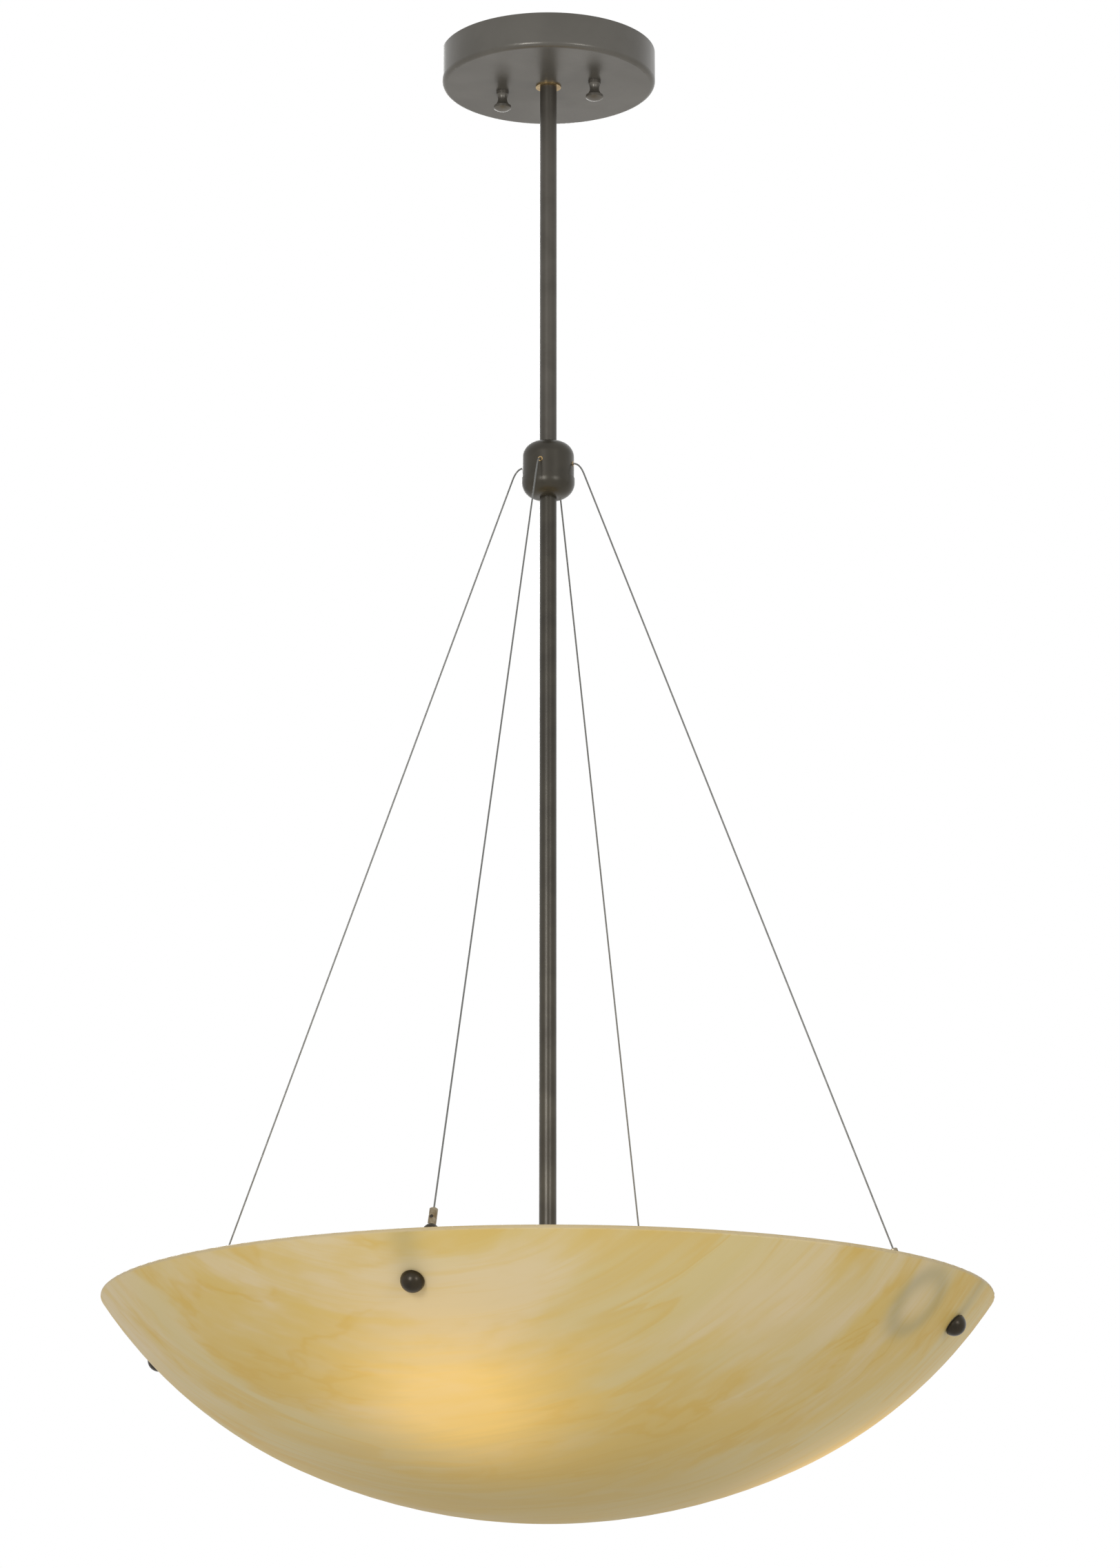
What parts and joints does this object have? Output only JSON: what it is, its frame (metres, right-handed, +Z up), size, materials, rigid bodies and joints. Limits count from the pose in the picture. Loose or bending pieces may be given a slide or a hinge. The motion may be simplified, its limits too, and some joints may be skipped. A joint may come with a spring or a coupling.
{
  "type": "inverted pendant light",
  "caption": "Inverted pendant light: a shallow cloudy glass bowl hung on thin steel cables from a collar on a bronze stem, under a round ceiling canopy, with lamps inside the bowl.",
  "frame": {"origin": "middle of the crossbar's box screw slots, in the ceiling plane", "axes": "+Z up into the ceiling, +X along the crossbar, front is -Y"},
  "size_m": [0.6094, 0.6094, 1.0618],
  "materials": {
    "canopy_bronze": "satin pewter bronze plating",
    "stem_bronze": "satin bronze plating, slightly darker than the canopy",
    "dark_bronze": "dark oil-rubbed bronze",
    "cluster_paint": "white enamel",
    "brass": "plain turned brass",
    "aged_nickel": "aged nickel plating",
    "cable_steel": "stranded stainless steel",
    "zinc_steel": "zinc plated",
    "earth_green": "green earth screw",
    "bowl_glass": "satin opal art glass with cream and ochre clouds",
    "washer_rubber": "matt",
    "porcelain": "white glazed porcelain",
    "lamp_frost": "frosted",
    "lamp_cap": "rolled thread",
    "lead_sleeve": "sleeved flexible leads"
  },
  "bodies": {
    "root": {"canopy": "canopy_bronze", "crossbar": "zinc_steel", "canopy_studs": "zinc_steel", "canopy_stud_nuts": "zinc_steel", "earth_screw": "earth_green", "seat_ring": "brass", "canopy_nipple": "brass", "canopy_nipple_nut": "brass", "canopy_lock_washer": "zinc_steel", "upper_stem": "stem_bronze", "lower_stem": "stem_bronze", "hub_nipple": "brass", "hub_cover": "stem_bronze", "hub_base": "stem_bronze", "hub_eyelets": "brass", "cluster_nipple": "brass", "cluster_nipple_nut": "brass", "cluster_body": "cluster_paint", "cluster_cover": "cluster_paint", "lamp_arms": "brass", "arm_nuts": "brass", "socket_1": "porcelain", "socket_2": "porcelain", "socket_3": "porcelain", "screw_shells": "brass", "socket_contacts": "brass", "lead_wires": "lead_sleeve"},
    "cable_ends": {"cable_stops": "aged_nickel"},
    "bowl": {"bowl": "bowl_glass", "outer_washers": "washer_rubber", "inner_washers": "washer_rubber", "inner_nuts": "zinc_steel", "eye_studs": "zinc_steel", "fork_front": "dark_bronze", "fork_right": "dark_bronze", "fork_back": "dark_bronze", "fork_left": "dark_bronze", "gripper_front": "aged_nickel", "gripper_right": "aged_nickel", "gripper_back": "aged_nickel", "gripper_left": "aged_nickel", "fork_pins": "zinc_steel", "gripper_screws": "zinc_steel", "cable_front": "cable_steel", "cable_right": "cable_steel", "cable_back": "cable_steel", "cable_left": "cable_steel", "cable_tail": "cable_steel"},
    "canopy_knob_left": {"canopy_knob_left": "canopy_bronze"},
    "canopy_knob_right": {"canopy_knob_right": "canopy_bronze"},
    "lamp_1": {"lamp_base_1": "lamp_cap", "lamp_glass_1": "lamp_frost"},
    "lamp_2": {"lamp_base_2": "lamp_cap", "lamp_glass_2": "lamp_frost"},
    "lamp_3": {"lamp_base_3": "lamp_cap", "lamp_glass_3": "lamp_frost"},
    "cap_nut_front": {"cap_nut_front": "dark_bronze"},
    "cap_nut_right": {"cap_nut_right": "dark_bronze"},
    "cap_nut_back": {"cap_nut_back": "dark_bronze"},
    "cap_nut_left": {"cap_nut_left": "dark_bronze"}
  },
  "joints": [
    {"name": "bowl_sway", "type": "hinge", "parent": "root", "child": "cable_ends", "pos_m": [0, 0, -0.314], "axis": [1, 0, 0], "range_deg": [-3, 3]},
    {"name": "bowl_turn", "type": "hinge", "parent": "cable_ends", "child": "bowl", "pos_m": [0, 0, -0.314], "axis": [0, 0, 1], "range_deg": [-10, 10], "stiffness_Nm_per_rad": 0.37, "deforming": ["cable_front", "cable_right", "cable_back", "cable_left"]},
    {"name": "canopy_knob_left_turn", "type": "hinge", "parent": "root", "child": "canopy_knob_left", "pos_m": [-0.03492, 0, -0.0257], "axis": [0, 0, 1], "continuous": true},
    {"name": "canopy_knob_right_turn", "type": "hinge", "parent": "root", "child": "canopy_knob_right", "pos_m": [0.03492, 0, -0.0257], "axis": [0, 0, 1], "continuous": true},
    {"name": "lamp_1_turn", "type": "hinge", "parent": "root", "child": "lamp_1", "pos_m": [0, -0.099, -0.9594], "axis": [0, -1, 0], "continuous": true},
    {"name": "lamp_2_turn", "type": "hinge", "parent": "root", "child": "lamp_2", "pos_m": [0.08574, 0.0495, -0.9594], "axis": [0.866, 0.5, 0], "continuous": true},
    {"name": "lamp_3_turn", "type": "hinge", "parent": "root", "child": "lamp_3", "pos_m": [-0.08574, 0.0495, -0.9594], "axis": [-0.866, 0.5, 0], "continuous": true},
    {"name": "cap_nut_front_turn", "type": "hinge", "parent": "bowl", "child": "cap_nut_front", "pos_m": [0, -0.28378, -0.9404], "axis": [0, -0.7605, -0.6494], "continuous": true},
    {"name": "cap_nut_right_turn", "type": "hinge", "parent": "bowl", "child": "cap_nut_right", "pos_m": [0.28378, 0, -0.9404], "axis": [0.7605, 0, -0.6494], "continuous": true},
    {"name": "cap_nut_back_turn", "type": "hinge", "parent": "bowl", "child": "cap_nut_back", "pos_m": [0, 0.28378, -0.9404], "axis": [0, 0.7605, -0.6494], "continuous": true},
    {"name": "cap_nut_left_turn", "type": "hinge", "parent": "bowl", "child": "cap_nut_left", "pos_m": [-0.28378, 0, -0.9404], "axis": [-0.7605, 0, -0.6494], "continuous": true}
  ]
}
